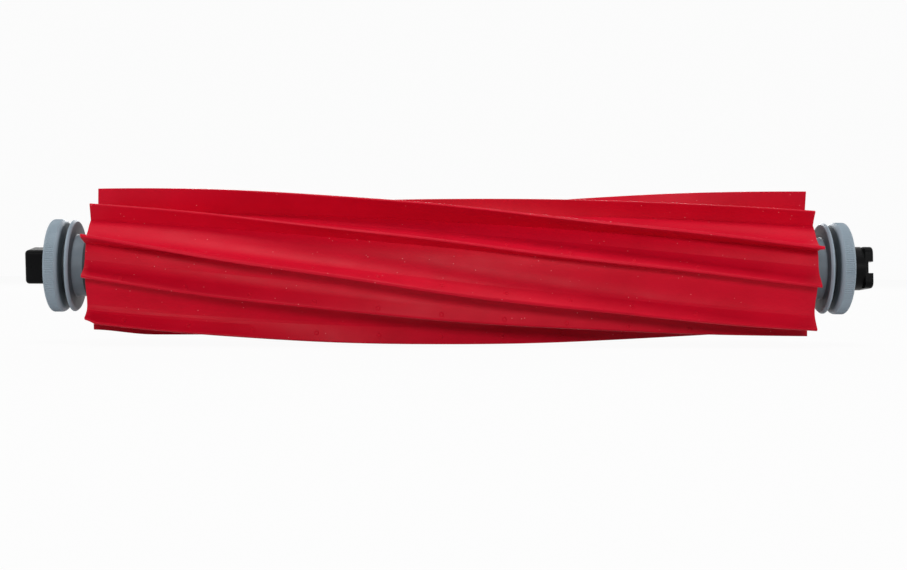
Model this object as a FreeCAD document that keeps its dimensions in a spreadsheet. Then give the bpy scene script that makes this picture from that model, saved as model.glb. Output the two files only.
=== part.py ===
import FreeCAD, Part
import math
import os
import Sketcher
from FreeCAD import Placement, Rotation, Vector

# Roller brush of a robot vacuum: a red rubber sleeve with helical fins on a tube, twist-lock
# end caps, a square drive head at the left (-X) and a ball bearing in a block at the right (+X).
# The axis of the roller is X, the origin is the middle of the roller. Millimetres and degrees.

sizeTable = [
    ("sleeve_length", 160.4),
    ("sleeve_radius", 11.8),
    ("sleeve_wall", 1.8),
    ("sleeve_shift", 0.4),
    ("fin_pairs", 5),
    ("fin_twist", 76.5),
    ("fin_phase", 27),
    ("fin_anchor", 0.9),
    ("ramp_sink", 0.3),
    ("ramp_curve", 7),
    ("tall_fin_radius", 17.5),
    ("tall_fin_tip", 0.75),
    ("tall_fin_angle", 60),
    ("tall_foot_radius", 14.4),
    ("tall_foot_angle", 3.8),
    ("tall_ramp_angle", 21.5),
    ("tall_back_angle", 3.5),
    ("short_fin_radius", 15.5),
    ("short_fin_tip", 0.6),
    ("short_fin_angle", 18.5),
    ("short_foot_radius", 13.3),
    ("short_foot_angle", 5.7),
    ("short_ramp_angle", 17),
    ("short_back_angle", 4.5),
    ("tube_wall", 1),
    ("tube_recess", 0.2),
    ("insert_length", 8),
    ("insert_web", 1.5),
    ("journal_radius", 5.1),
    ("journal_clearance", 0.08),
    ("socket_radius", 6.7),
    ("socket_clearance", 0.3),
    ("spigot_clearance", 0.3),
    ("lug_count", 3),
    ("lug_height", 1.2),
    ("lug_width", 1.8),
    ("lug_angle", 24),
    ("lug_clearance", 0.2),
    ("lug_side_clearance", 2),
    ("lug_setback", 0.4),
    ("twist_angle", 30),
    ("hub_radius", 6.9),
    ("hub_length", 3.8),
    ("cap_end_play", 0.2),
    ("flange_radius", 10.3),
    ("flange_width", 0.8),
    ("flange_bevel", 0.4),
    ("neck_radius", 6.5),
    ("neck_width", 1.5),
    ("wheel_radius", 10.42),
    ("wheel_width", 3.2),
    ("wheel_inner_bevel", 1.1),
    ("wheel_inner_bevel_rise", 0.32),
    ("wheel_outer_bevel", 0.4),
    ("drive_square", 7.6),
    ("drive_length", 5.3),
    ("drive_rounding", 0.9),
    ("drive_end_rounding", 0.8),
    ("drive_turn", 6.7),
    ("drive_step", 0.2),
    ("journal_setback", 0.2),
    ("nose_radius", 1.9),
    ("pin_radius", 1.5),
    ("pin_depth", 14),
    ("pin_reach", 2),
    ("pin_tip_radius", 0.85),
    ("pin_tip_length", 1.2),
    ("pin_bevel", 0.3),
    ("block_gap", 0.4),
    ("collar_radius", 4.95),
    ("collar_length", 3.2),
    ("head_square", 9.4),
    ("head_length", 1.9),
    ("head_rounding", 1.5),
    ("head_end_rounding", 0.5),
    ("head_turn", 4),
    ("slot_width", 2.6),
    ("slot_depth", 1.2),
    ("pin_hole_clearance", 0.6),
    ("bearing_radius", 3),
    ("bearing_width", 2.5),
    ("bearing_setback", 0.4),
    ("ring_wall", 0.55),
    ("ball_count", 7),
    ("ball_radius", 0.4),
    ("race_clearance", 0.02),
    ("cage_clearance", 0.06),
    ("cage_width", 1.2),
    ("shield_width", 0.15),
    ("shield_setback", 0.08),
    ("shield_clearance", 0.06),
]

doc = FreeCAD.newDocument("roller_brush")
sheet = doc.addObject("Spreadsheet::Sheet", "sizes")
for row, (alias, value) in enumerate(sizeTable, 1):
    sheet.set("A%d" % row, alias)
    sheet.set("B%d" % row, str(value))
    sheet.setAlias("B%d" % row, alias)
doc.recompute()


class Size:
    # A size of the sheet, or sizes worked together, with the text that binds a property to them.
    def __init__(self, text, value):
        self.text = text
        self.value = value

    def __add__(self, other):
        other = asSize(other)
        return Size("(%s + %s)" % (self.text, other.text), self.value + other.value)

    def __sub__(self, other):
        other = asSize(other)
        return Size("(%s - %s)" % (self.text, other.text), self.value - other.value)

    def __mul__(self, other):
        other = asSize(other)
        return Size("(%s * %s)" % (self.text, other.text), self.value * other.value)

    def __truediv__(self, other):
        other = asSize(other)
        return Size("(%s / %s)" % (self.text, other.text), self.value / other.value)


def asSize(value):
    if isinstance(value, Size):
        return value
    return Size("(%r)" % value, value)


nothing = asSize(0)


def size(alias):
    return Size("sizes." + alias, float(sheet.get(alias)))


def cosine(angle):
    return Size("cos(%s)" % angle.text, math.cos(math.radians(angle.value)))


def sine(angle):
    return Size("sin(%s)" % angle.text, math.sin(math.radians(angle.value)))


def polar(radius, angle):
    return radius * cosine(angle), radius * sine(angle)


def bind(thing, prop, value):
    thing.setExpression(prop, value.text)


def originFeature(body, role):
    for feature in body.Origin.OriginFeatures:
        if feature.Role == role:
            return feature


def newBody(label):
    body = doc.addObject("PartDesign::Body", label)
    body.Label = label
    body.AllowCompound = True
    return body


def newSketch(body, name, role, offset=None, turn=None, turnAxis=Vector(1, 0, 0)):
    # offset moves the sketch along its normal, turn rotates it about one of its own axes.
    sketch = body.newObject("Sketcher::SketchObject", name)
    sketch.AttachmentSupport = [(originFeature(body, role), "")]
    sketch.MapMode = "FlatFace"
    sketch.AttachmentOffset = Placement(Vector(0, 0, 0), Rotation(turnAxis, turn.value if turn else 0))
    if offset:
        bind(sketch, "AttachmentOffset.Base.z", offset)
    if turn:
        bind(sketch, "AttachmentOffset.Rotation.Angle", turn)
    return sketch


def arcBetween(start, end, radius):
    # An arc that bends to the right of the way from start to end.
    middle = (start + end) * 0.5
    way = end - start
    across = Vector(-way.y, way.x, 0).normalize()
    centre = middle + across * math.sqrt(radius ** 2 - way.Length ** 2 / 4)
    circle = Part.Circle(centre, Vector(0, 0, 1), radius)
    first = math.atan2(start.y - centre.y, start.x - centre.x)
    last = math.atan2(end.y - centre.y, end.x - centre.x)
    return Part.ArcOfCircle(circle, first, last)


def drawOutline(sketch, corners, arcs=None):
    # A closed outline whose corners are bound to sizes; arcs gives a radius for some of its sides.
    arcs = arcs or {}
    points = [Vector(x.value, y.value, 0) for x, y in corners]
    count = len(points)
    for index in range(count):
        start = points[index]
        end = points[(index + 1) % count]
        if index in arcs:
            sketch.addGeometry(arcBetween(start, end, arcs[index].value))
        else:
            sketch.addGeometry(Part.LineSegment(start, end))
    for index in range(count):
        sketch.addConstraint(Sketcher.Constraint("Coincident", index, 2, (index + 1) % count, 1))
    for index, (x, y) in enumerate(corners):
        for kind, value in (("DistanceX", x), ("DistanceY", y)):
            number = sketch.addConstraint(Sketcher.Constraint(kind, -1, 1, index, 1, value.value))
            bind(sketch, "Constraints[%d]" % number, value)
    for index, radius in arcs.items():
        number = sketch.addConstraint(Sketcher.Constraint("Radius", index, radius.value))
        bind(sketch, "Constraints[%d]" % number, radius)


def drawCircle(sketch, radius, x=nothing, y=nothing):
    # A circle at a place in the sketch.
    index = sketch.addGeometry(Part.Circle(Vector(x.value, y.value, 0), Vector(0, 0, 1), radius.value))
    for kind, value in (("DistanceX", x), ("DistanceY", y)):
        number = sketch.addConstraint(Sketcher.Constraint(kind, -1, 1, index, 3, value.value))
        bind(sketch, "Constraints[%d]" % number, value)
    number = sketch.addConstraint(Sketcher.Constraint("Radius", index, radius.value))
    bind(sketch, "Constraints[%d]" % number, radius)


def drawBox(sketch, width, height, rounding=None):
    # A rectangle about the middle of the sketch, with its corners rounded where a radius is given.
    right = width / 2
    top = height / 2
    left = nothing - right
    bottom = nothing - top
    if not rounding:
        drawOutline(sketch, [(left, bottom), (right, bottom), (right, top), (left, top)])
        return
    drawOutline(sketch, [
        (left + rounding, bottom),
        (right - rounding, bottom),
        (right, bottom + rounding),
        (right, top - rounding),
        (right - rounding, top),
        (left + rounding, top),
        (left, top - rounding),
        (left, bottom + rounding),
    ], {1: rounding, 3: rounding, 5: rounding, 7: rounding})


def turned(body, name, corners):
    # A solid of revolution about the roller axis, from corners of (distance along X, radius).
    sketch = newSketch(body, name + "_profile", "XZ_Plane")
    drawOutline(sketch, corners)
    feature = body.newObject("PartDesign::Revolution", name)
    feature.Profile = sketch
    feature.ReferenceAxis = (sketch, ["H_Axis"])
    feature.Angle = 360
    return feature


def ringSector(body, name, kind, start, end, inner, outer, angle, span):
    # A piece of a ring about the roller axis, added or cut, spanning an angle about its middle.
    sketch = newSketch(body, name + "_profile", "XZ_Plane", turn=angle)
    drawOutline(sketch, [(start, inner), (end, inner), (end, outer), (start, outer)])
    feature = body.newObject(kind, name)
    feature.Profile = sketch
    feature.ReferenceAxis = (sketch, ["H_Axis"])
    feature.Midplane = True
    feature.Refine = False
    bind(feature, "Angle", span)
    return feature


def pattern(body, name, originals, count):
    feature = body.newObject("PartDesign::PolarPattern", name)
    feature.Originals = originals
    feature.Axis = (originFeature(body, "X_Axis"), [""])
    feature.Angle = 360
    feature.Refine = False
    bind(feature, "Occurrences", count)
    body.Tip = feature
    return feature


def padded(body, name, sketch, length):
    feature = body.newObject("PartDesign::Pad", name)
    feature.Profile = sketch
    bind(feature, "Length", length)
    return feature


def rounded(body, name, base, radius, x):
    # Rounds every edge of a feature that lies in the plane across the roller axis at one place.
    doc.recompute()
    edges = []
    for number, edge in enumerate(base.Shape.Edges, 1):
        box = edge.BoundBox
        if abs(box.XMin - x.value) < 0.001 and abs(box.XMax - x.value) < 0.001:
            edges.append("Edge%d" % number)
    feature = body.newObject("PartDesign::Fillet", name)
    feature.Base = (base, edges)
    bind(feature, "Radius", radius)
    doc.recompute()
    return feature


# Places along the axis, measured outward from the middle; both ends share them.
sleeveEnd = size("sleeve_length") / 2
sleeveStart = size("sleeve_shift") - sleeveEnd
tubeRadius = size("sleeve_radius") - size("sleeve_wall")
tubeBore = tubeRadius - size("tube_wall")
tubeEnd = sleeveEnd - size("tube_recess")
insertStart = tubeEnd - size("insert_length")
socketFloor = insertStart + size("insert_web")
spigotEnd = socketFloor + size("spigot_clearance")
hubStart = tubeEnd + size("cap_end_play")
flangeStart = hubStart + size("hub_length")
neckStart = flangeStart + size("flange_width")
wheelStart = neckStart + size("neck_width")
wheelEnd = wheelStart + size("wheel_width")
driveStart = wheelEnd + size("drive_step")
driveEnd = driveStart + size("drive_length")
journalEnd = wheelEnd - size("journal_setback")
blockStart = wheelEnd + size("block_gap")
collarEnd = blockStart + size("collar_length")
blockEnd = collarEnd + size("head_length")
bearingStart = blockStart + size("bearing_setback")
bearingEnd = bearingStart + size("bearing_width")
bearingMiddle = (bearingStart + bearingEnd) / 2
spigotRadius = size("socket_radius") - size("socket_clearance")
lugRadius = spigotRadius + size("lug_height")
lugStart = spigotEnd + size("lug_setback")
lugEnd = lugStart + size("lug_width")
capBore = size("journal_radius") + size("journal_clearance")

# Rubber sleeve: a plain tube, then one tall and one short fin swept along the helix and repeated.
# It sits a little toward the bearing on its tube.
sleeve = newBody("rubber_sleeve")
sleeveSketch = newSketch(sleeve, "sleeve_ring", "YZ_Plane", sleeveStart)
drawCircle(sleeveSketch, size("sleeve_radius"))
drawCircle(sleeveSketch, tubeRadius)
sleeveTube = padded(sleeve, "sleeve_tube", sleeveSketch, size("sleeve_length"))
sleeveTube.Refine = False


def finPoint(angle, side, radius):
    # side turns the point away from the fin's middle line, toward the ramp when positive.
    return polar(radius, angle - side)


def offMiddle(angle, across, along):
    # A point at a distance along the fin's middle line and a distance across it, toward the ramp.
    x = along * cosine(angle) + across * sine(angle)
    y = along * sine(angle) - across * cosine(angle)
    return x, y


def addFin(kind):
    # A leaning blade: its upper side runs out into a hollow ramp, its lower side is straight.
    angle = size(kind + "_fin_angle")
    top = size(kind + "_fin_radius")
    halfTip = size(kind + "_fin_tip") / 2
    anchor = size("sleeve_radius") - size("fin_anchor")
    sketch = newSketch(sleeve, kind + "_fin_profile", "YZ_Plane", sleeveStart)
    drawOutline(sketch, [
        offMiddle(angle, nothing - halfTip, top),
        offMiddle(angle, halfTip, top),
        finPoint(angle, size(kind + "_foot_angle"), size(kind + "_foot_radius")),
        finPoint(angle, size(kind + "_ramp_angle"), size("sleeve_radius") - size("ramp_sink")),
        finPoint(angle, size(kind + "_ramp_angle") - 1.5, anchor),
        finPoint(angle, backAngle[kind], anchor),
    ], {2: size("ramp_curve")})
    fin = sleeve.newObject("PartDesign::AdditiveHelix", kind + "_fin")
    fin.Profile = sketch
    fin.ReferenceAxis = (sketch, ["N_Axis"])
    fin.Mode = "height-turns-angle"
    fin.Refine = False
    bind(fin, "Height", size("sleeve_length"))
    bind(fin, "Turns", size("fin_twist") / 360)
    return pattern(sleeve, kind + "_fins", [fin], size("fin_pairs"))


backAngle = {"tall": size("tall_back_angle"), "short": nothing - size("short_back_angle")}
addFin("tall")
addFin("short")
sleeve.Placement = Placement(Vector(0, 0, 0), Rotation(Vector(1, 0, 0), size("fin_phase").value))
bind(sleeve, "Placement.Rotation.Angle", size("fin_phase"))

# Tube inside the rubber.
tube = newBody("core_tube")
tubeSketch = newSketch(tube, "tube_ring", "YZ_Plane", nothing - tubeEnd)
drawCircle(tubeSketch, tubeRadius)
drawCircle(tubeSketch, tubeBore)
padded(tube, "tube_wall", tubeSketch, tubeEnd * 2)


def addSocket(body, beyond):
    # The plug pressed into the tube's end: a web, a journal for the cap, and a socket wall with
    # three bayonet slots; beyond lists the profile's corners outside the cap.
    turned(body, "insert", [
        (insertStart, nothing),
        (insertStart, tubeBore),
        (tubeEnd, tubeBore),
        (tubeEnd, size("socket_radius")),
        (socketFloor, size("socket_radius")),
        (socketFloor, size("journal_radius")),
    ] + beyond)
    slotRadius = lugRadius + size("lug_clearance")
    legStart = lugStart - size("lug_clearance")
    legEnd = lugEnd + size("lug_clearance")
    entrySpan = size("lug_angle") + size("lug_side_clearance") * 2
    groove = "PartDesign::Groove"
    inner = size("socket_radius") - size("socket_clearance")
    legSpan = entrySpan / 2 + size("twist_angle")
    leg = ringSector(body, "slot_leg", groove, legStart, legEnd, inner, slotRadius,
                     size("twist_angle") - legSpan / 2, legSpan)
    entry = ringSector(body, "slot_entry", groove, legStart, tubeEnd + size("cap_end_play"), inner,
                       slotRadius, size("twist_angle"), entrySpan)
    return pattern(body, "slots", [leg, entry], size("lug_count"))


# Drive spindle: the plug with a square head that the vacuum's gearbox turns.
driveSpindle = newBody("drive_spindle")
addSocket(driveSpindle, [(driveStart, size("journal_radius")), (driveStart, nothing)])
headSketch = newSketch(driveSpindle, "drive_square", "YZ_Plane", driveStart,
                       nothing - size("drive_turn"), Vector(0, 0, 1))
drawBox(headSketch, size("drive_square"), size("drive_square"), size("drive_rounding"))
head = padded(driveSpindle, "drive_head", headSketch, size("drive_length"))
rounded(driveSpindle, "drive_end", head, size("drive_end_rounding"), driveEnd)
driveSpindle.Placement = Placement(Vector(0, 0, 0), Rotation(Vector(0, 0, 1), 180))

# Bearing spindle: the same plug with a short nose and a hole for the steel pin.
bearingSpindle = newBody("bearing_spindle")
pinStart = bearingStart - size("pin_depth")
addSocket(bearingSpindle, [
    (journalEnd, size("journal_radius")),
    (journalEnd, size("nose_radius")),
    (bearingStart, size("nose_radius")),
    (bearingStart, size("pin_radius")),
    (pinStart, size("pin_radius")),
    (pinStart, nothing),
])

# Steel pin pressed into the bearing spindle, with a thinner outer end.
pinBody = newBody("bearing_pin")
pinEnd = bearingEnd + size("pin_reach")
pinShoulder = pinEnd - size("pin_tip_length")
turned(pinBody, "pin", [
    (pinStart, nothing),
    (pinStart, size("pin_radius")),
    (pinShoulder - size("pin_bevel"), size("pin_radius")),
    (pinShoulder, size("pin_radius") - size("pin_bevel")),
    (pinShoulder, size("pin_tip_radius")),
    (pinEnd - size("pin_bevel"), size("pin_tip_radius")),
    (pinEnd, size("pin_tip_radius") - size("pin_bevel")),
    (pinEnd, nothing),
])


def addCap(label):
    # A spool: spigot with bayonet lugs, hub, thin flange, neck and the wheel that is gripped.
    body = newBody(label)
    wheelRadius = size("wheel_radius")
    innerBevel = size("wheel_inner_bevel")
    innerRise = size("wheel_inner_bevel_rise")
    outerBevel = size("wheel_outer_bevel")
    turned(body, "spool", [
        (spigotEnd, capBore),
        (spigotEnd, spigotRadius),
        (hubStart, spigotRadius),
        (hubStart, size("hub_radius")),
        (flangeStart, size("hub_radius")),
        (flangeStart, size("flange_radius") - size("flange_bevel")),
        (flangeStart + size("flange_bevel"), size("flange_radius")),
        (neckStart, size("flange_radius")),
        (neckStart, size("neck_radius")),
        (wheelStart, size("neck_radius")),
        (wheelStart, wheelRadius - innerBevel),
        (wheelStart + innerRise, wheelRadius - innerRise),
        (wheelStart + innerBevel, wheelRadius),
        (wheelEnd - outerBevel, wheelRadius),
        (wheelEnd, wheelRadius - outerBevel),
        (wheelEnd, capBore),
    ])
    lug = ringSector(body, "lug", "PartDesign::Revolution", lugStart, lugEnd,
                     spigotRadius - size("lug_clearance"), lugRadius, nothing, size("lug_angle"))
    pattern(body, "lugs", [lug], size("lug_count"))
    return body


driveCap = addCap("drive_end_cap")
driveCap.Placement = Placement(Vector(0, 0, 0), Rotation(Vector(0, 0, 1), 180))
bearingCap = addCap("bearing_end_cap")

# Bearing block: a round collar and a square head with a slot across its end.
block = newBody("bearing_block")
turned(block, "collar", [
    (blockStart, size("bearing_radius")),
    (blockStart, size("collar_radius")),
    (collarEnd, size("collar_radius")),
    (collarEnd, size("bearing_radius")),
])
squareSketch = newSketch(block, "head_square", "YZ_Plane", collarEnd,
                         nothing - size("head_turn"), Vector(0, 0, 1))
drawBox(squareSketch, size("head_square"), size("head_square"), size("head_rounding"))
blockHead = padded(block, "head", squareSketch, size("head_length"))
rounded(block, "head_end", blockHead, size("head_end_rounding"), blockEnd)


def bored(body, name, start, end, radius):
    # A round hole along the roller axis.
    sketch = newSketch(body, name + "_profile", "XZ_Plane")
    drawOutline(sketch, [(start, nothing), (start, radius), (end, radius), (end, nothing)])
    feature = body.newObject("PartDesign::Groove", name)
    feature.Profile = sketch
    feature.ReferenceAxis = (sketch, ["H_Axis"])
    feature.Angle = 360
    return feature


bored(block, "bearing_seat", blockStart, bearingEnd, size("bearing_radius"))
bored(block, "pin_hole", bearingEnd, blockEnd, size("pin_radius") + size("pin_hole_clearance"))
slotSketch = newSketch(block, "slot_outline", "YZ_Plane", blockEnd - size("slot_depth"),
                       nothing - size("head_turn"), Vector(0, 0, 1))
drawBox(slotSketch, size("head_square") * 2, size("slot_width"))
slot = block.newObject("PartDesign::Pocket", "slot")
slot.Profile = slotSketch
slot.Reversed = True
bind(slot, "Length", size("slot_depth") * 2)

# Ball bearing: rings with a groove each, balls, a cage and a shield at each side.
pitchRadius = (size("bearing_radius") + size("pin_radius")) / 2
raceRadius = size("ball_radius") + size("race_clearance")
innerLand = size("pin_radius") + size("ring_wall")
outerLand = size("bearing_radius") - size("ring_wall")


def addRing(label, inner, outer):
    body = newBody(label)
    turned(body, "ring", [
        (bearingStart, inner),
        (bearingStart, outer),
        (bearingEnd, outer),
        (bearingEnd, inner),
    ])
    sketch = newSketch(body, "race_profile", "XZ_Plane")
    drawCircle(sketch, raceRadius, bearingMiddle, pitchRadius)
    race = body.newObject("PartDesign::Groove", "race")
    race.Profile = sketch
    race.ReferenceAxis = (sketch, ["H_Axis"])
    race.Angle = 360
    return body


innerRing = addRing("bearing_inner_ring", size("pin_radius"), innerLand)
outerRing = addRing("bearing_outer_ring", outerLand, size("bearing_radius"))

balls = []
for number in range(int(size("ball_count").value)):
    ball = doc.addObject("Part::Sphere", "ball_%d" % (number + 1))
    ballY, ballZ = polar(pitchRadius, asSize(number) * 360 / size("ball_count"))
    bind(ball, "Radius", size("ball_radius"))
    bind(ball, "Placement.Base.x", bearingMiddle)
    bind(ball, "Placement.Base.y", ballY)
    bind(ball, "Placement.Base.z", ballZ)
    balls.append(ball)
bearingBalls = doc.addObject("Part::Compound", "bearing_balls")
bearingBalls.Links = balls
bearingBalls.Label = "bearing_balls"

# Cage: a thin band with a round pocket through it for each ball.
cage = newBody("bearing_cage")
turned(cage, "cage_band", [
    (bearingMiddle - size("cage_width") / 2, innerLand + size("cage_clearance")),
    (bearingMiddle - size("cage_width") / 2, outerLand - size("cage_clearance")),
    (bearingMiddle + size("cage_width") / 2, outerLand - size("cage_clearance")),
    (bearingMiddle + size("cage_width") / 2, innerLand + size("cage_clearance")),
])
pocketSketch = newSketch(cage, "ball_pocket_circle", "XZ_Plane")
drawCircle(pocketSketch, size("ball_radius") + size("cage_clearance"), bearingMiddle)
pocket = cage.newObject("PartDesign::Pocket", "ball_pocket")
pocket.Profile = pocketSketch
pocket.Refine = False
bind(pocket, "Length", outerLand)
pattern(cage, "ball_pockets", [pocket], size("ball_count"))


def addShield(label, start):
    body = newBody(label)
    turned(body, "shield", [
        (start, innerLand + size("shield_clearance")),
        (start, outerLand),
        (start + size("shield_width"), outerLand),
        (start + size("shield_width"), innerLand + size("shield_clearance")),
    ])
    return body


innerShield = addShield("bearing_shield_inner", bearingStart + size("shield_setback"))
outerShield = addShield("bearing_shield_outer",
                        bearingEnd - size("shield_setback") - size("shield_width"))

doc.recompute()

nodes = [
    sleeve, tube, driveSpindle, bearingSpindle, pinBody, driveCap, bearingCap, block,
    innerRing, outerRing, bearingBalls, cage, innerShield, outerShield,
]
for thing in doc.Objects:
    if "Invalid" in thing.State or "Error" in thing.State:
        raise RuntimeError("%s failed: %s" % (thing.Name, thing.State))
for node in nodes:
    if node.Shape.isNull() or not node.Shape.isValid():
        raise RuntimeError("%s has no valid shape" % node.Label)

os.makedirs("parts", exist_ok=True)
for node in nodes:
    node.Shape.exportStep("parts/%s.step" % node.Label)
    print(node.Label, len(node.Shape.Solids), "solids", round(node.Shape.Volume, 1), "mm3")
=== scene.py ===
import math

import bmesh
import bpy
from mathutils import Matrix, Vector
from mathutils.geometry import interpolate_bezier


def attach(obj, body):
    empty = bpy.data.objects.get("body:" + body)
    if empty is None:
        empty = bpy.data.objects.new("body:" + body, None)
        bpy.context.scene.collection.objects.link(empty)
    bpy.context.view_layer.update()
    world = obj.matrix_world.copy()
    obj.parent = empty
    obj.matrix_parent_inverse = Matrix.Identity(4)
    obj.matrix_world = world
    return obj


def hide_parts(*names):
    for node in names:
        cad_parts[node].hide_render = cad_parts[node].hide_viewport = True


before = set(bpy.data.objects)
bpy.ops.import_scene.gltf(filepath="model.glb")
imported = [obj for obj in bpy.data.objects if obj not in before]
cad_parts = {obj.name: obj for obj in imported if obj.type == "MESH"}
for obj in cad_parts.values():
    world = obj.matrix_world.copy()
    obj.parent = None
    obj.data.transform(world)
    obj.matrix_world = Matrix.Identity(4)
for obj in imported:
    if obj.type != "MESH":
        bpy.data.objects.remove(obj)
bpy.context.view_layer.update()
mm = 0.001
tolerance = 0.01             # mm, within which two measures count as equal
rollerAxis = Vector((1, 0, 0))
print("frame loaded:", len(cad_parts), "nodes")


# small helpers

def paint(red, green, blue):
    # screen values 0-255 to the linear colour a shader takes
    def channel(value):
        value /= 255
        return value / 12.92 if value <= 0.04045 else ((value + 0.055) / 1.055) ** 2.4
    return channel(red), channel(green), channel(blue), 1


def grey(value):
    return value, value, value, 1


def around(x, radius, degrees):
    # a point by its place along the roller, its radius and its angle about +X (0 at +Y, 90 at +Z)
    turn = math.radians(degrees)
    return Vector((x, radius * math.cos(turn), radius * math.sin(turn)))


def radiusOf(vert):
    return math.hypot(vert.co.y, vert.co.z)


def setRadius(vert, radius):
    factor = radius / radiusOf(vert)
    vert.co.y *= factor
    vert.co.z *= factor


def lengthwise(edge):
    return abs(edge.verts[0].co.x - edge.verts[1].co.x) > tolerance


def markSharp(bm, degrees):
    for edge in bm.edges:
        edge.smooth = edge.calc_face_angle(0) < math.radians(degrees)
    for face in bm.faces:
        face.smooth = True


def newPiece(name, bm, body, material, replaced, sharp):
    # sharp is the angle in degrees past which an edge isn't shaded smooth
    markSharp(bm, sharp)
    mesh = bpy.data.meshes.new(name)
    bm.to_mesh(mesh)
    bm.free()
    mesh.materials.append(material)
    piece = bpy.data.objects.new(name, mesh)
    bpy.context.collection.objects.link(piece)
    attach(piece, body)
    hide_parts(*replaced)


# materials

def newMaterial(name):
    material = bpy.data.materials.new(name)
    material.use_nodes = True
    tree = material.node_tree
    return material, tree, tree.nodes["Principled BSDF"]


def addNode(tree, kind, at, **values):
    node = tree.nodes.new(kind)
    node.location = at
    for key, value in values.items():
        if key in node.inputs:
            node.inputs[key].default_value = value
        else:
            setattr(node, key, value)
    return node


def addNoise(tree, coordinates, at, scale, detail):
    noise = addNode(tree, "ShaderNodeTexNoise", at, Scale=scale, Detail=detail, Roughness=0.55)
    tree.links.new(coordinates, noise.inputs["Vector"])
    return noise.outputs["Fac"]


def addRamp(tree, factor, at, stops):
    ramp = addNode(tree, "ShaderNodeValToRGB", at)
    elements = ramp.color_ramp.elements
    while len(elements) < len(stops):
        elements.new(0.5)
    for element, (place, colour) in zip(elements, stops):
        element.position = place
        element.color = colour
    tree.links.new(factor, ramp.inputs["Fac"])
    return ramp.outputs["Color"]


def addPatches(tree, noise, at, low, high, blend=(0.3, 0.7)):
    # two colours in patches, blended between two values of the noise
    return addRamp(tree, noise, at, list(zip(blend, (low, high))))


def addMath(tree, operation, at, first, second=None):
    # first and second are sockets or plain numbers
    node = addNode(tree, "ShaderNodeMath", at, operation=operation)
    for socket, value in zip(node.inputs, (first, second)):
        if isinstance(value, bpy.types.NodeSocket):
            tree.links.new(value, socket)
        elif value is not None:
            socket.default_value = value
    return node.outputs[0]


def addMix(tree, at, share, colour, over):
    # colour where the share is 0, over where it is 1; sockets 0, 6, 7 and 2 are those of a colour mix
    mix = addNode(tree, "ShaderNodeMix", at, data_type="RGBA")
    mix.inputs[7].default_value = over
    tree.links.new(share, mix.inputs[0])
    tree.links.new(colour, mix.inputs[6])
    return mix.outputs[2]


def addBump(tree, height, at, strength, distance, before=None):
    bump = addNode(tree, "ShaderNodeBump", at, Strength=strength, Distance=distance)
    tree.links.new(height, bump.inputs["Height"])
    if before:
        tree.links.new(before, bump.inputs["Normal"])
    return bump.outputs["Normal"]


def addRoughness(tree, place, row, scale, detail, limits):
    # patches of more and less gloss, between two values of roughness
    low, high = limits
    gloss = addNoise(tree, place, (-1200, row), scale, detail)
    return addPatches(tree, gloss, (-950, row), grey(low), grey(high))


# the numbers of a pattern count its features per metre; a bump has pattern, strength and depth in metres
rubberLook = {
    "light": paint(214, 13, 45),
    "deep": paint(202, 11, 40),
    "mottle": 90,
    "dust": paint(228, 112, 118),
    "dustCells": 700,        # per metre, with a speck in some of them
    "dustSize": (0.06, 0.096),    # shares of a cell where a speck begins to fade, and where it ends
    "dustFrom": 0.62,        # cells with a random value above this hold a speck
    "roughness": (0.40, 0.52),
    "gloss": 130,
    "grain": (2600, 0.25, 0.00005),
    "ripple": (160, 0.15, 0.0004),
    "specular": 0.11,
}


def makeRubber():
    look = rubberLook
    material, tree, shader = newMaterial("redRubber")
    place = addNode(tree, "ShaderNodeTexCoord", (-1500, 0)).outputs["Object"]
    mottle = addNoise(tree, place, (-1200, 300), look["mottle"], detail=6)
    colour = addPatches(tree, mottle, (-950, 300), look["deep"], look["light"])
    cells = addNode(tree, "ShaderNodeTexVoronoi", (-1200, -50), Scale=look["dustCells"])
    tree.links.new(place, cells.inputs["Vector"])
    speck = addRamp(tree, cells.outputs["Distance"], (-950, -50),
                    list(zip(look["dustSize"], (grey(1), grey(0)))))
    chosen = addMath(tree, "GREATER_THAN", (-950, -300), cells.outputs["Color"], look["dustFrom"])
    dust = addMath(tree, "MULTIPLY", (-700, -100), speck, chosen)
    dusty = addMix(tree, (-450, 200), dust, colour, look["dust"])
    tree.links.new(dusty, shader.inputs["Base Color"])
    rough = addRoughness(tree, place, -550, look["gloss"], detail=4, limits=look["roughness"])
    tree.links.new(rough, shader.inputs["Roughness"])
    scale, strength, depth = look["grain"]
    grain = addNoise(tree, place, (-1200, -800), scale, detail=2)
    normal = addBump(tree, grain, (-700, -800), strength, depth)
    scale, strength, depth = look["ripple"]
    ripple = addNoise(tree, place, (-1200, -1050), scale, detail=3)
    normal = addBump(tree, ripple, (-450, -900), strength, depth, normal)
    tree.links.new(normal, shader.inputs["Normal"])
    shader.inputs["Specular IOR Level"].default_value = look["specular"]
    return material


# shares of painted shade by radius (mm) on the inward part of a cap, deepest in the groove behind the wheel
capPaintedShade = {
    "colour": paint(14, 14, 16),
    "byRadius": [(6.7, 0.92), (6.88, 0.45), (7.2, 0.72), (9.3, 0.62), (10.1, 0)],
    "reach": 87.4,           # no painted shade on the wheel beyond this distance from the middle
    "seam": (81.7, 0.9),     # painted shadow, darker up to here, where the cap meets the rubber
    "fade": 0.2,             # over which the seam darkens
}


# painted shade: darkens the cap's colour toward near-black by radius in its recesses, plus a painted shadow
# along the seam with the rubber
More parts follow.
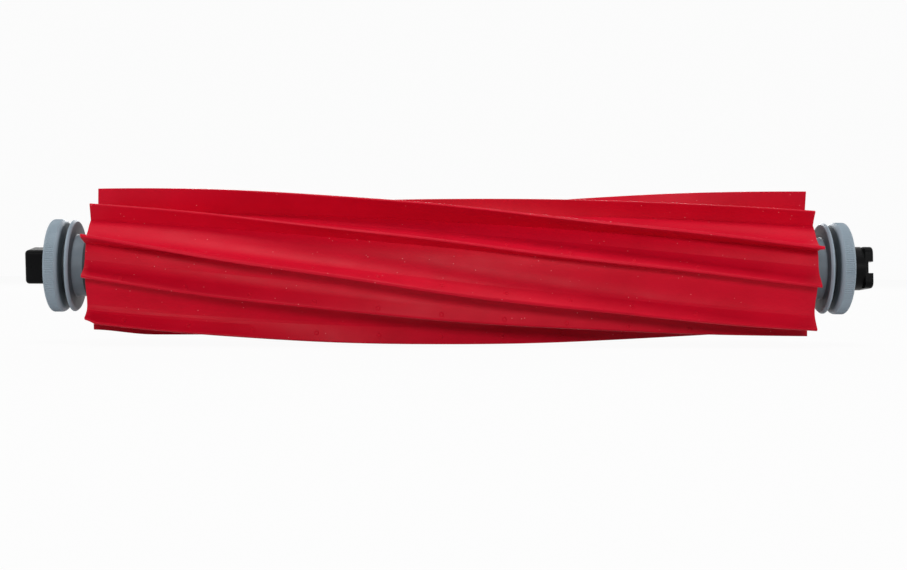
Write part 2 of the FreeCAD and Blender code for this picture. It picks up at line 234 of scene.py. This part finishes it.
def addPaintedShade(tree, place, colour, paintedShade):
    parts = addNode(tree, "ShaderNodeSeparateXYZ", (-1000, 800))
    tree.links.new(place, parts.inputs[0])
    along = addMath(tree, "ABSOLUTE", (-800, 950), parts.outputs["X"])
    across = addNode(tree, "ShaderNodeCombineXYZ", (-800, 700))
    tree.links.new(parts.outputs["Y"], across.inputs["Y"])
    tree.links.new(parts.outputs["Z"], across.inputs["Z"])
    radius = addNode(tree, "ShaderNodeVectorMath", (-600, 700), operation="LENGTH")
    tree.links.new(across.outputs[0], radius.inputs[0])
    stops = paintedShade["byRadius"]
    low, high = stops[0][0], stops[-1][0]
    share = addNode(tree, "ShaderNodeMapRange", (-400, 700),
                    **{"From Min": low * mm, "From Max": high * mm})
    tree.links.new(radius.outputs["Value"], share.inputs["Value"])
    depth = addRamp(tree, share.outputs[0], (-200, 700),
                    [((at - low) / (high - low), grey(amount)) for at, amount in stops])
    inward = addMath(tree, "LESS_THAN", (-400, 950), along, paintedShade["reach"] * mm)
    groove = addMath(tree, "MULTIPLY", (100, 800), depth, inward)
    end, amount = paintedShade["seam"]
    seam = addNode(tree, "ShaderNodeMapRange", (-200, 1000),
                   **{"From Min": end * mm, "From Max": (end - paintedShade["fade"]) * mm, "To Max": amount})
    tree.links.new(along, seam.inputs["Value"])
    total = addMath(tree, "MAXIMUM", (300, 850), groove, seam.outputs[0])
    return addMix(tree, (500, 600), total, colour, paintedShade["colour"])


greyLook = {
    "light": paint(150, 165, 176),
    "deep": paint(142, 157, 168),
    "mottle": 180,
    "roughness": (0.4, 0.52),
    "gloss": 420,
    "grain": (2200, 0.3, 0.00004),
    "specular": 0.16,
}
blackLook = {
    "light": paint(9, 10, 11),
    "deep": paint(5, 5, 6),
    "mottle": 180,
    "roughness": (0.26, 0.4),
    "gloss": 420,
    "grain": (1800, 0.3, 0.00005),
    "specular": 0.07,
}


def makePlastic(name, look, paintedShade=None):
    material, tree, shader = newMaterial(name)
    place = addNode(tree, "ShaderNodeTexCoord", (-1300, 0)).outputs["Object"]
    mottle = addNoise(tree, place, (-1000, 250), look["mottle"], detail=4)
    colour = addPatches(tree, mottle, (-700, 250), look["deep"], look["light"], blend=(0.35, 0.65))
    # painted shade in the cap's recesses and a painted shadow at the rubber seam
    if paintedShade:
        colour = addPaintedShade(tree, place, colour, paintedShade)
    tree.links.new(colour, shader.inputs["Base Color"])
    rough = addRoughness(tree, place, -50, look["gloss"], detail=3, limits=look["roughness"])
    tree.links.new(rough, shader.inputs["Roughness"])
    scale, strength, depth = look["grain"]
    grain = addNoise(tree, place, (-1000, -350), scale, detail=2)
    tree.links.new(addBump(tree, grain, (-400, -350), strength, depth), shader.inputs["Normal"])
    shader.inputs["Specular IOR Level"].default_value = look["specular"]
    return material


steelLook = {
    "light": paint(214, 216, 220),
    "deep": paint(178, 180, 184),
    "turned": 900,           # lathe marks, stretched round the axis
    "stretch": (12, 1, 1),
    "roughness": (0.2, 0.32),
    "bump": (0.2, 0.00002),
}


def makeSteel():
    look = steelLook
    material, tree, shader = newMaterial("bearingSteel")
    place = addNode(tree, "ShaderNodeTexCoord", (-1300, 0)).outputs["Object"]
    stretch = addNode(tree, "ShaderNodeMapping", (-1100, 0))
    stretch.inputs["Scale"].default_value = look["stretch"]
    tree.links.new(place, stretch.inputs["Vector"])
    turned = addNoise(tree, stretch.outputs["Vector"], (-850, 0), look["turned"], detail=3)
    colour = addPatches(tree, turned, (-600, 200), look["deep"], look["light"])
    tree.links.new(colour, shader.inputs["Base Color"])
    low, high = look["roughness"]
    rough = addPatches(tree, turned, (-600, -100), grey(low), grey(high))
    tree.links.new(rough, shader.inputs["Roughness"])
    tree.links.new(addBump(tree, turned, (-350, -300), *look["bump"]), shader.inputs["Normal"])
    shader.inputs["Metallic"].default_value = 1
    return material


redRubber = makeRubber()
# the grey caps get painted shade in their recesses and a painted shadow at the rubber seam
greyPlastic = makePlastic("greyPlastic", greyLook, capPaintedShade)
blackPlastic = makePlastic("blackPlastic", blackLook)
steel = makeSteel()
print("materials made")


# rubber sleeve

rubberSleeve = {
    "length": 160.4,
    "shift": 0.4,            # toward the bearing
    "steps": 150,            # rings along the length
    "base": 11.8,
    "bore": 10.0,
    "boreSides": 120,
    "pairs": 5,
    "twist": 76.5,
    "rampPoints": 8,         # of a fin's outline
    "bladeShares": (0.45, 0.75, 1),         # where the outline has points, from foot to tip
    "underShares": (0, 0.3, 0.65, 1),       # and from the tip down the other side
    "arcPoints": 3,          # of the plain base between two fins
    "tipRounding": 0.2,
    "wave": (0.5, 0.11, 2.3),    # degrees that a tip strays to and fro, its pace by mm and by fin
    "bend": 1.5,             # how much more the tip strays than the foot
    "finReach": (1, 6),      # degrees before the ramp and behind the angle that belong to a fin
}
# angle: where the first fin of a kind stands at the drive end, in degrees
# foot: radius of the blade's root, and degrees from there to the angle
# ramp and back: degrees before the angle where the outline leaves the base, and where it comes back
# lift: slope at the ramp's start
# pips: distance of the small rings from the tip
# lean: each fin's stray in degrees at the drive end, the middle and the bearing end
# worn: by fin, how much lower it stands at the drive end, and how far that reaches
tallFin = {
    "angle": 87, "top": 17.5, "tip": 0.75, "foot": (14.4, 3.8),
    "ramp": 20.6, "lift": 5, "back": 2.6, "pips": 1.9,
    "lean": [(-2, 5, 1.3), (-0.5, 2, -4), (-7, 0, 0), (0, 0, 0), (0, -2, 1)],
    "worn": {2: (0.9, 2.6)},
}
shortFin = {
    "angle": 45.5, "top": 15.5, "tip": 0.6, "foot": (13.3, 5.7),
    "ramp": 15.6, "lift": 15, "back": -4.2, "pips": 1.0,
    "lean": [(3, 3, 3.5), (0.5, 4, 0.3), (-0.6, 2.5, -4), (-2, 0, 0), (0, 0, 0)],
    "worn": {3: (0.95, 13)},
}


def halfTip(fin):
    return math.degrees(fin["tip"] / 2 / fin["top"])


def bladeEdge(fin, x, angle):
    # where the blade's upper side begins, and where it ends at the tip
    footRadius, footTurn = fin["foot"]
    return around(x, footRadius, angle - footTurn), around(x, fin["top"], angle - halfTip(fin))


def finOutline(fin, x):
    # from the ramp's start over the tip to the root behind it
    base = rubberSleeve["base"]
    angle = fin["angle"]
    foot, tipUpper = bladeEdge(fin, x, angle)
    rampStart = around(x, base, angle - fin["ramp"])
    reach = (foot - rampStart).length / 3
    slope = rampStart + around(0, reach, angle - fin["ramp"] + 90 - fin["lift"])
    flank = foot + (foot - tipUpper).normalized() * reach
    ramp = interpolate_bezier(rampStart, slope, flank, foot, rubberSleeve["rampPoints"])
    blade = [foot.lerp(tipUpper, share) for share in rubberSleeve["bladeShares"]]
    tipLower = around(x, fin["top"], angle + halfTip(fin))
    back = around(x, base, angle - fin["back"])
    under = [tipLower.lerp(back, share) for share in rubberSleeve["underShares"]]
    return ramp + blade + under


def baseArc(x, first, last):
    count = rubberSleeve["arcPoints"]
    step = (last - first) / (count + 1)
    return [around(x, rubberSleeve["base"], first + step * (index + 1)) for index in range(count)]


def makeSleeve():
    half = rubberSleeve["length"] / 2
    sector = 360 / rubberSleeve["pairs"]
    outline = finOutline(shortFin, -half)
    outline += baseArc(-half, shortFin["angle"] - shortFin["back"], tallFin["angle"] - tallFin["ramp"])
    outline += finOutline(tallFin, -half)
    outline += baseArc(-half, tallFin["angle"] - tallFin["back"],
                       shortFin["angle"] - shortFin["ramp"] + sector)
    bm = bmesh.new()
    corners = [bm.verts.new(point) for point in outline]
    corners.append(bm.verts.new(Matrix.Rotation(math.radians(sector), 3, "X") @ outline[0]))
    for first, second in zip(corners, corners[1:]):
        bm.edges.new((first, second))
    bmesh.ops.spin(bm, geom=bm.verts[:] + bm.edges[:], axis=rollerAxis, cent=(0, 0, 0),
                   angle=math.tau * (1 - 1 / rubberSleeve["pairs"]), steps=rubberSleeve["pairs"] - 1,
                   use_duplicate=True)
    bmesh.ops.remove_doubles(bm, verts=bm.verts[:], dist=tolerance)
    steps = rubberSleeve["steps"]
    bmesh.ops.spin(bm, geom=bm.verts[:] + bm.edges[:], axis=rollerAxis, cent=(0, 0, 0),
                   dvec=(rubberSleeve["length"] / steps, 0, 0),
                   angle=math.radians(rubberSleeve["twist"]), steps=steps)
    roundFins(bm)
    closeEnds(bm, half)
    bmesh.ops.recalc_face_normals(bm, faces=bm.faces[:])
    addPips(bm, half)
    leanFins(bm, half)
    bmesh.ops.translate(bm, verts=bm.verts[:], vec=(rubberSleeve["shift"], 0, 0))
    bmesh.ops.scale(bm, vec=(mm, mm, mm), verts=bm.verts[:])
    newPiece("rubberSleeve", bm, "roller", redRubber, ["rubber_sleeve"], sharp=10)


def roundFins(bm):
    # softens the two edges of each tip
    tops = (tallFin["top"], shortFin["top"])

    def onTip(vert):
        return any(abs(radiusOf(vert) - top) < tolerance for top in tops)

    tips = [edge for edge in bm.edges if lengthwise(edge) and all(onTip(vert) for vert in edge.verts)]
    bmesh.ops.bevel(bm, geom=tips, affect="EDGES", offset=rubberSleeve["tipRounding"],
                    offset_type="OFFSET", segments=2, profile=0.5, material=-1)


def closeEnds(bm, half):
    # the bore, and a flat face at each end between bore and outline
    start = Matrix.Translation((-half, 0, 0)) @ Matrix.Rotation(math.pi / 2, 4, "Y")
    ring = bmesh.ops.create_circle(bm, segments=rubberSleeve["boreSides"], radius=rubberSleeve["bore"],
                                   matrix=start)
    edges = list({edge for vert in ring["verts"] for edge in vert.link_edges})
    grown = bmesh.ops.extrude_edge_only(bm, edges=edges)["geom"]
    far = [item for item in grown if isinstance(item, bmesh.types.BMVert)]
    bmesh.ops.translate(bm, verts=far, vec=(rubberSleeve["length"], 0, 0))
    for side in (-half, half):
        rim = [edge for edge in bm.edges if edge.is_boundary
               and all(abs(vert.co.x - side) < tolerance for vert in edge.verts)]
        bmesh.ops.triangle_fill(bm, edges=rim, use_beauty=True)


pip = {
    "first": 8.2,            # from the drive end
    "pitch": 13.9,
    "ring": 0.42,
    "ringSides": 14,
    "wire": 0.13,
    "wireSides": 8,
}


def addPips(bm, half):
    # rows of small moulded rings on the upper side of each blade, near its tip
    rings = bmesh.new()
    count = int((rubberSleeve["length"] - pip["first"]) / pip["pitch"])
    pairs = rubberSleeve["pairs"]
    for number in range(count * pairs):
        x = pip["first"] + number // pairs * pip["pitch"]
        turn = number % pairs * 360 / pairs + rubberSleeve["twist"] * x / rubberSleeve["length"]
        for fin in (tallFin, shortFin):
            addRing(rings, *bladeEdge(fin, x - half, fin["angle"] + turn), fin["pips"])
    mesh = bpy.data.meshes.new("pips")
    rings.to_mesh(mesh)
    rings.free()
    bm.from_mesh(mesh)
    bpy.data.meshes.remove(mesh)


def addRing(bm, foot, tip, distance):
    # a ring that lies on the blade between foot and tip
    inward = (foot - tip).normalized()
    outward = inward.cross(rollerAxis)
    place = Matrix((rollerAxis, outward, inward)).transposed().to_4x4()
    place.translation = tip + inward * distance
    wire = bmesh.ops.create_circle(bm, segments=pip["wireSides"], radius=pip["wire"],
                                   matrix=place @ Matrix.Translation((pip["ring"], 0, 0)))["verts"]
    edges = list({edge for vert in wire for edge in vert.link_edges})
    bmesh.ops.spin(bm, geom=wire + edges, axis=outward, cent=place.translation, angle=math.tau,
                   steps=pip["ringSides"], use_merge=True)


def leanFins(bm, half):
    # thin blades stray from their helix, most at the tip, and worn ends stand lower
    base = rubberSleeve["base"]
    stray, pace, shift = rubberSleeve["wave"]
    before, behind = rubberSleeve["finReach"]
    sector = 360 / rubberSleeve["pairs"]
    for vert in bm.verts:
        radius = radiusOf(vert)
        share = vert.co.x / half
        own = math.degrees(math.atan2(vert.co.z, vert.co.y)) - rubberSleeve["twist"] * (share + 1) / 2
        for fin in (tallFin, shortFin):
            number, within = divmod((own - fin["angle"] + fin["ramp"] + before) % 360, sector)
            if radius > base + tolerance and within < before + fin["ramp"] + behind:
                left, middle, right = fin["lean"][int(number)]
                lean = middle + (right - left) / 2 * share + ((left + right) / 2 - middle) * share ** 2
                lean += stray * math.sin(vert.co.x * pace + number * shift + fin["top"])
                rise = (radius - base) / (fin["top"] - base)
                depth, reach = fin["worn"].get(int(number), (0, 1))
                kept = min((vert.co.x + half) / reach, 1)
                sunk = radius - depth * rise * (1 - kept * kept * (3 - 2 * kept))
                turn = Matrix.Rotation(math.radians(lean) * rise ** rubberSleeve["bend"], 3, "X")
                vert.co = turn @ vert.co
                setRadius(vert, sunk)


makeSleeve()
print("rubber sleeve made")


# end caps: the same moulding at both ends, outline in (distance from the middle, radius)

endCap = {
    "outline": [(73.8, 5.18), (73.8, 6.4), (80.2, 6.4), (80.2, 6.9), (84.0, 6.9), (84.0, 9.9), (84.4, 10.3),
                (84.8, 10.3), (84.8, 6.5), (86.3, 6.5), (86.3, 10.42), (89.5, 10.42), (89.5, 5.18)],
    # rounding by corner, counted from 0
    "soft": {10: 1.1, 11: 0.6, 6: 0.15, 7: 0.15, 4: 0.3, 8: 0.3, 9: 0.3},
    "softSteps": 5,
    "wheel": 10.42,          # radius of the knurled rim
    "teeth": 132,
    "toothDepth": 0.17,
    "lug": (74.2, 76.0, 6.2, 7.6),    # start, end, inner and outer radius
    "lugSpan": 24,           # degrees
    "lugSteps": 6,
    "lugs": 3,
}


def makeCap(name, body, node, direction):
    bm = bmesh.new()
    corners = [bm.verts.new((x, 0, radius)) for x, radius in endCap["outline"]]
    count = len(corners)
    for index in range(count):
        bm.edges.new((corners[index], corners[(index + 1) % count]))
    bm.faces.new(corners)    # for the roundings alone
    for index, rounding in endCap["soft"].items():
        bmesh.ops.bevel(bm, geom=[corners[index]], affect="VERTICES", offset=rounding,
                        offset_type="OFFSET", segments=endCap["softSteps"], profile=0.5, material=-1)
    bmesh.ops.delete(bm, geom=bm.faces[:], context="FACES_ONLY")
    steps = endCap["teeth"] * 2
    bmesh.ops.spin(bm, geom=bm.verts[:] + bm.edges[:], axis=rollerAxis, cent=(0, 0, 0), angle=math.tau,
                   steps=steps, use_merge=True)
    knurl(bm, steps)
    bmesh.ops.recalc_face_normals(bm, faces=bm.faces[:])
    addLugs(bm)
    if direction < 0:
        bmesh.ops.rotate(bm, verts=bm.verts[:], cent=(0, 0, 0), matrix=Matrix.Rotation(math.pi, 3, "Z"))
    bmesh.ops.scale(bm, vec=(mm, mm, mm), verts=bm.verts[:])
    newPiece(name, bm, body, greyPlastic, [node], sharp=28)


def knurl(bm, steps):
    # every other row of the rim sinks, which leaves fine teeth across it
    rim = [edge for edge in bm.edges if lengthwise(edge)
           and all(abs(radiusOf(vert) - endCap["wheel"]) < tolerance for vert in edge.verts)]
    for edge in rim:
        row = round(math.atan2(edge.verts[0].co.z, edge.verts[0].co.y) / math.tau * steps)
        if row % 2:
            continue
        for vert in edge.verts:
            setRadius(vert, radiusOf(vert) - endCap["toothDepth"])


def addLugs(bm):
    start, end, inner, outer = endCap["lug"]
    span = math.radians(endCap["lugSpan"])
    for number in range(endCap["lugs"]):
        turn = Matrix.Rotation(math.tau * number / endCap["lugs"] - span / 2, 3, "X")
        corners = [bm.verts.new(turn @ Vector((x, 0, radius)))
                   for x, radius in ((start, inner), (end, inner), (end, outer), (start, outer))]
        face = bm.faces.new(corners)
        bmesh.ops.spin(bm, geom=[face], axis=rollerAxis, cent=(0, 0, 0), angle=span,
                       steps=endCap["lugSteps"])


makeCap("driveEndCap", "drive_cap", "drive_end_cap", -1)
makeCap("bearingEndCap", "bearing_cap", "bearing_end_cap", 1)
print("end caps made")


# solids that keep their shape and get a finish

finishes = {
    "core_tube": blackPlastic,
    "drive_spindle": blackPlastic,
    "bearing_spindle": blackPlastic,
    "bearing_block": blackPlastic,
    "bearing_pin": steel,
    "bearing_inner_ring": steel,
    "bearing_outer_ring": steel,
    "bearing_balls": steel,
    "bearing_cage": steel,
    "bearing_shield_inner": steel,
    "bearing_shield_outer": steel,
}
for node, finish in finishes.items():
    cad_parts[node].data.materials.clear()
    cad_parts[node].data.materials.append(finish)
print("finishes given")


# floor, light and camera

studio = {
    "floor": -17.5,          # mm, under the lowest fin
    "floorSize": 4,          # metres
    "floorColour": grey(0.66),
    "floorGlow": 0.95,       # share of the floor that is seen as plain white
    "backdrop": grey(0.97),
    "ambient": 0.07,
}
# place in metres, size and power; all are aimed at the middle of the roller
lamps = {
    "key": ((0.02, -1.08, 0.29), (0.6, 0.2), 5.0),
    "overhead": ((0, -0.2, 0.9), (0.5, 0.4), 4.3),
    "back": ((0, 1, 0.4), (0.6, 0.3), 4.2),
    "driveSide": ((-1, 0, 0.3), (0.3, 0.3), 2),
    "bearingSide": ((1, 0, 0.3), (0.3, 0.3), 2),
}


def seenRay(tree):
    # 1 for rays from the camera, straight or by way of a shiny or clear surface
    ray = addNode(tree, "ShaderNodeLightPath", (-1000, 300))
    total = ray.outputs["Is Camera Ray"]
    for at, kind in ((-800, "Is Glossy Ray"), (-600, "Is Transmission Ray")):
        total = addMath(tree, "MAXIMUM", (at, 300), total, ray.outputs[kind])
    return total


def makeFloor():
    bm = bmesh.new()
    bmesh.ops.create_grid(bm, x_segments=2, y_segments=2, size=studio["floorSize"] / 2)
    bmesh.ops.translate(bm, verts=bm.verts[:], vec=(0, 0, studio["floor"] * mm))
    mesh = bpy.data.meshes.new("floor")
    bm.to_mesh(mesh)
    bm.free()
    floor = bpy.data.objects.new("floor", mesh)
    bpy.context.collection.objects.link(floor)
    material, tree, shader = newMaterial("paleFloor")
    shader.inputs["Base Color"].default_value = studio["floorColour"]
    shader.inputs["Roughness"].default_value = 1
    shader.inputs["Specular IOR Level"].default_value = 0
    glow = addNode(tree, "ShaderNodeEmission", (-200, 300))
    glow.inputs["Color"].default_value = grey(1)
    share = addMath(tree, "MULTIPLY", (-400, 300), seenRay(tree), studio["floorGlow"])
    blend = addNode(tree, "ShaderNodeMixShader", (200, 200))
    tree.links.new(share, blend.inputs[0])
    tree.links.new(shader.outputs[0], blend.inputs[1])
    tree.links.new(glow.outputs[0], blend.inputs[2])
    tree.links.new(blend.outputs[0], tree.nodes["Material Output"].inputs["Surface"])
    mesh.materials.append(material)


def makeWorld():
    world = bpy.data.worlds.new("studio")
    bpy.context.scene.world = world
    world.use_nodes = True
    tree = world.node_tree
    sky = tree.nodes["Background"]
    sky.inputs["Color"].default_value = grey(1)
    sky.inputs["Strength"].default_value = studio["ambient"]
    backdrop = addNode(tree, "ShaderNodeBackground", (0, -200))
    backdrop.inputs["Color"].default_value = studio["backdrop"]
    blend = addNode(tree, "ShaderNodeMixShader", (300, 100))
    tree.links.new(seenRay(tree), blend.inputs[0])
    tree.links.new(sky.outputs[0], blend.inputs[1])
    tree.links.new(backdrop.outputs[0], blend.inputs[2])
    tree.links.new(blend.outputs[0], tree.nodes["World Output"].inputs["Surface"])


def addLamp(name, place, size, power):
    data = bpy.data.lights.new(name, "AREA")
    data.shape = "RECTANGLE"
    data.size, data.size_y = size
    data.energy = power
    lamp = bpy.data.objects.new(name, data)
    lamp.location = place
    lamp.rotation_euler = (-Vector(place)).to_track_quat("-Z", "Y").to_euler()
    bpy.context.collection.objects.link(lamp)


photoCamera = {
    "distance": 0.330,
    "azimuth": -1,           # degrees, towards the drive end
    "roll": 0.23,
    "lens": 57.8,
    "sensor": 36,
    "shift": (3 / 907, -18 / 907),    # shares of the picture's width
    "nearest": 0.01,
}


def makeCamera():
    data = bpy.data.cameras.new("camera")
    data.lens = photoCamera["lens"]
    data.sensor_width = photoCamera["sensor"]
    data.shift_x, data.shift_y = photoCamera["shift"]
    data.clip_start = photoCamera["nearest"]
    camera = bpy.data.objects.new("camera", data)
    turn = Matrix.Rotation(math.radians(photoCamera["azimuth"]), 4, "Z")
    upright = Matrix.Rotation(math.pi / 2, 4, "X")
    roll = Matrix.Rotation(math.radians(photoCamera["roll"]), 4, "Z")
    place = Matrix.Translation((0, -photoCamera["distance"], 0))
    camera.matrix_world = turn @ place @ upright @ roll
    bpy.context.collection.objects.link(camera)
    bpy.context.scene.camera = camera


makeFloor()
makeWorld()
for lampName, lampValues in lamps.items():
    addLamp(lampName, *lampValues)
makeCamera()
bpy.context.scene.view_settings.view_transform = "Standard"
print("studio made")
